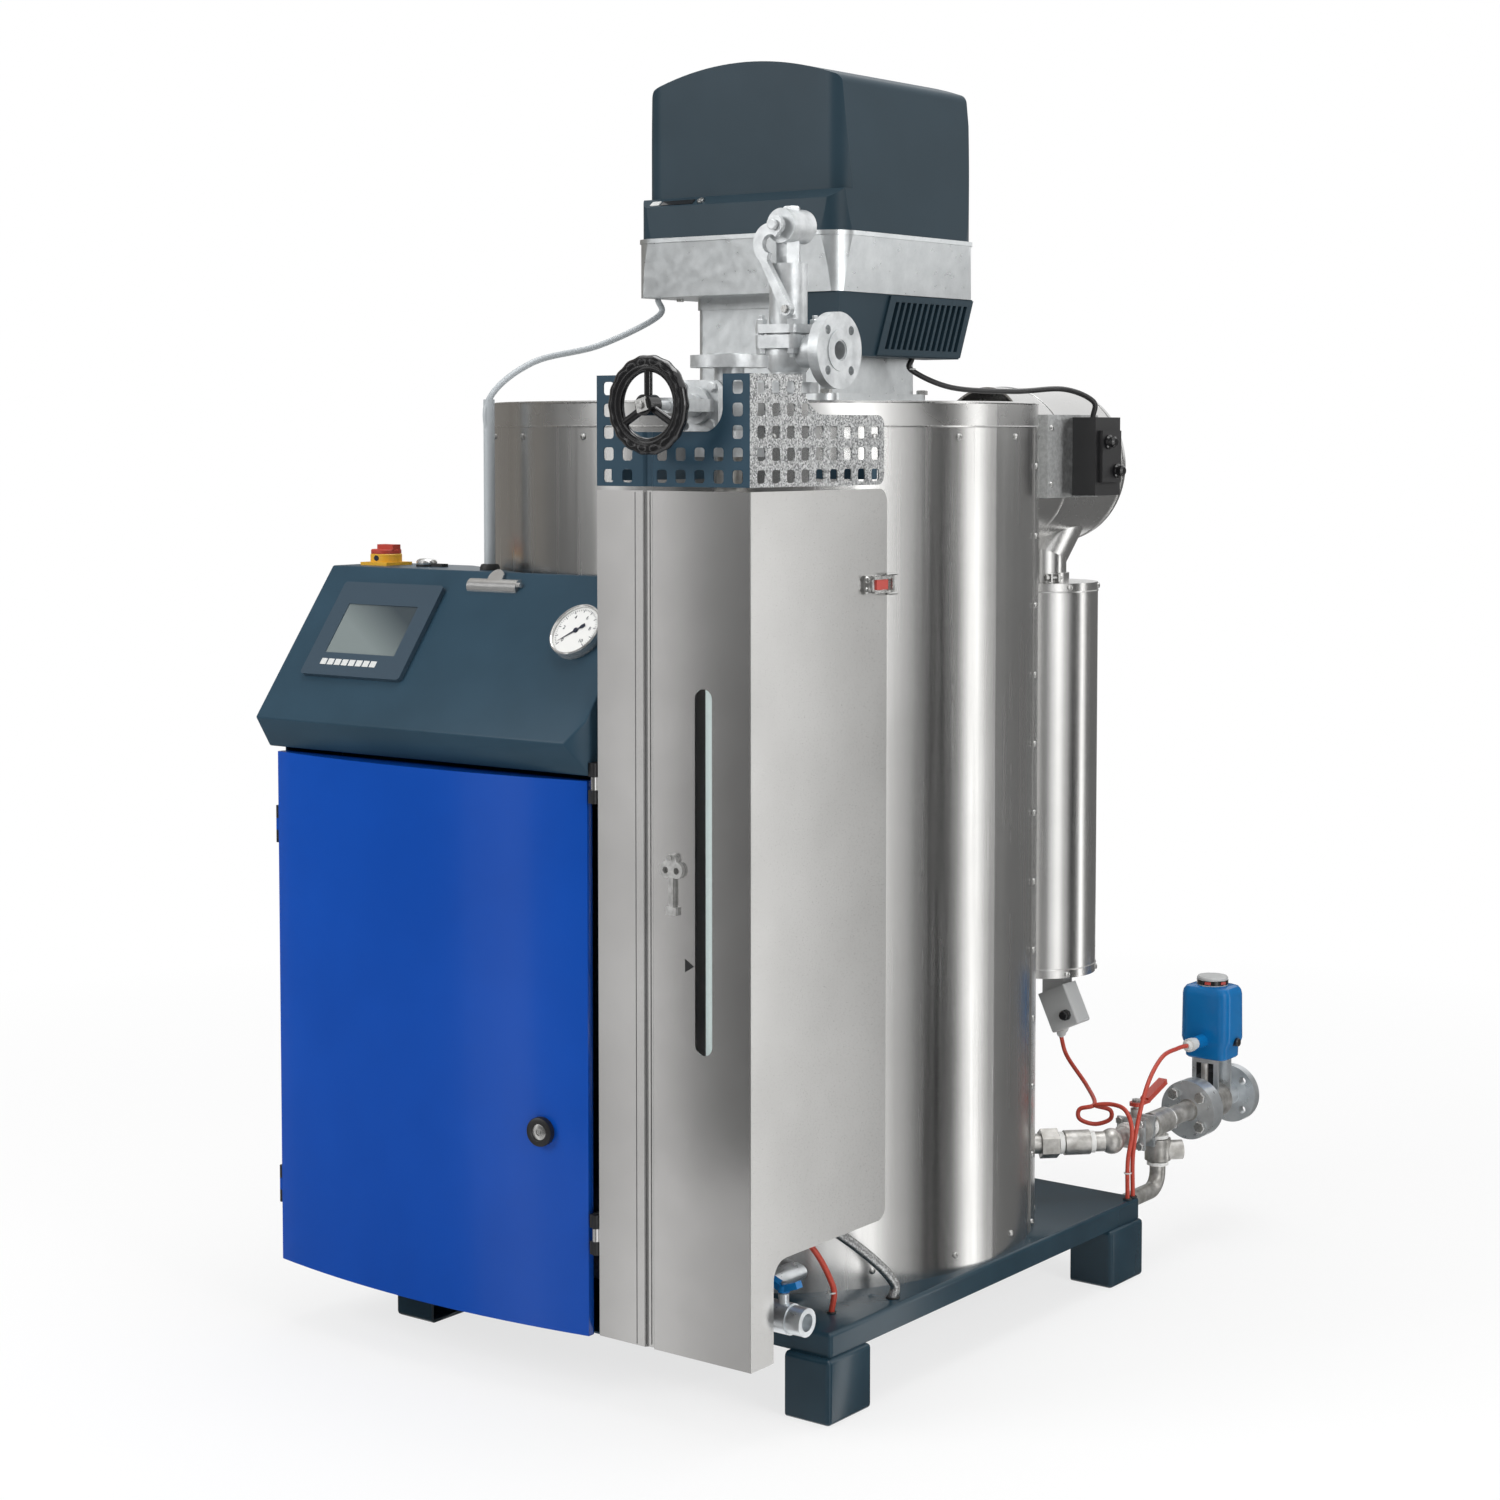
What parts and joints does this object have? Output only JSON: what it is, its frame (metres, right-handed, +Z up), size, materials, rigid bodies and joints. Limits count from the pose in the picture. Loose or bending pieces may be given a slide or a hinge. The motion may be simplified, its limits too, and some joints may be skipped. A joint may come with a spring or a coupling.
{
  "type": "packaged vertical steam boiler",
  "caption": "Upright jacketed steam boiler on a steel base with top burner, control cabinet and sloped console, hinged service cover, valves and blowdown line.",
  "frame": {"origin": "middle of the footprint, on the floor under the feet", "axes": "+Z up, the cabinet door and service cover face -Y, the safety valve outlet points to +X"},
  "size_m": [1.0242, 1.5492, 2.04],
  "materials": {
    "slate_sheet": "satin",
    "stainless": "brushed",
    "cast_alloy": "cast",
    "cast_zinc": "matt",
    "pipe_steel": "matt",
    "black_gloss": "gloss",
    "black_plastic": "matt",
    "blue_gloss": "gloss",
    "blue_paint": "satin",
    "gauge_glass": "clear",
    "grey_plastic": "matt",
    "panel_grey": "matt",
    "chrome": "polished",
    "yellow_plastic": "gloss",
    "red_plastic": "gloss",
    "red_lead": "satin",
    "grey_conduit": "satin",
    "braid": "braided",
    "plate_zinc": "satin"
  },
  "bodies": {
    "boiler": {"base_plate": "slate_sheet", "feet": "slate_sheet", "jacket": "stainless", "jacket_lid": "stainless", "closure_strip": "stainless", "burner_neck": "cast_alloy", "burner_band": "cast_alloy", "burner_hood": "slate_sheet", "burner_intake": "slate_sheet", "steam_pipe": "pipe_steel", "steam_valve": "cast_zinc", "safety_valve": "cast_zinc", "guard_front": "slate_sheet", "guard_side": "slate_sheet", "guard_brackets": "slate_sheet", "cover_catch": "chrome", "gauge_cocks": "pipe_steel", "gauge_glass": "gauge_glass", "cabinet": "slate_sheet", "cabinet_rear_box": "slate_sheet", "mounting_plate": "plate_zinc", "cabinet_hinges": "black_plastic", "console": "slate_sheet", "touch_panel": "panel_grey", "pressure_gauge": "chrome", "switch_base": "yellow_plastic", "push_button": "chrome", "document_clip": "chrome", "flue_drum": "stainless", "flue_elbow": "stainless", "side_vessel": "stainless", "terminal_box": "grey_plastic", "controller_bracket": "grey_plastic", "controller_box": "black_plastic", "blowdown_pipe": "pipe_steel", "ball_valve": "pipe_steel", "branch_line": "pipe_steel", "motor_valve": "pipe_steel", "valve_actuator": "blue_paint", "drain_valve": "cast_zinc", "burner_conduit": "grey_conduit", "intake_lead": "black_plastic", "red_leads": "red_lead", "front_hoses": "braid"},
    "door": {"cabinet_door": "blue_gloss", "door_lock": "black_plastic"},
    "cover": {"cover_front": "stainless", "cover_side": "stainless", "cover_latch": "chrome", "cover_key": "chrome"},
    "wheel": {"handwheel": "black_gloss"},
    "lever": {"lift_lever": "cast_zinc"},
    "knob": {"switch_knob": "red_plastic"},
    "cock_lever": {"valve_lever": "red_plastic"},
    "drain_grip": {"drain_handle": "blue_paint"}
  },
  "joints": [
    {"name": "door_hinge", "type": "hinge", "parent": "boiler", "child": "door", "pos_m": [-0.50613, -0.69763, 0.52], "axis": [0, 0, -1], "range_deg": [0, 110]},
    {"name": "cover_hinge", "type": "hinge", "parent": "boiler", "child": "cover", "pos_m": [0.17187, -0.71063, 0.7], "axis": [0, 0, -1], "range_deg": [0, 90]},
    {"name": "handwheel_turn", "type": "hinge", "parent": "boiler", "child": "wheel", "pos_m": [0.31737, -0.76163, 1.486], "axis": [0, -1, 0], "range_deg": [0, 1440]},
    {"name": "lever_lift", "type": "hinge", "parent": "boiler", "child": "lever", "pos_m": [0.30788, -0.44666, 1.758], "axis": [0, 1, 0], "range_deg": [0, 25]},
    {"name": "main_switch", "type": "hinge", "parent": "boiler", "child": "knob", "pos_m": [-0.45413, -0.50133, 1.25], "axis": [0, 0, -1], "range_deg": [0, 90]},
    {"name": "ball_valve_turn", "type": "hinge", "parent": "boiler", "child": "cock_lever", "pos_m": [0.45713, 0.40863, 0.281], "axis": [0, 0, -1], "range_deg": [0, 90]},
    {"name": "drain_turn", "type": "hinge", "parent": "boiler", "child": "drain_grip", "pos_m": [0.44887, -0.61663, 0.208], "axis": [0, 0, -1], "range_deg": [0, 90]}
  ]
}
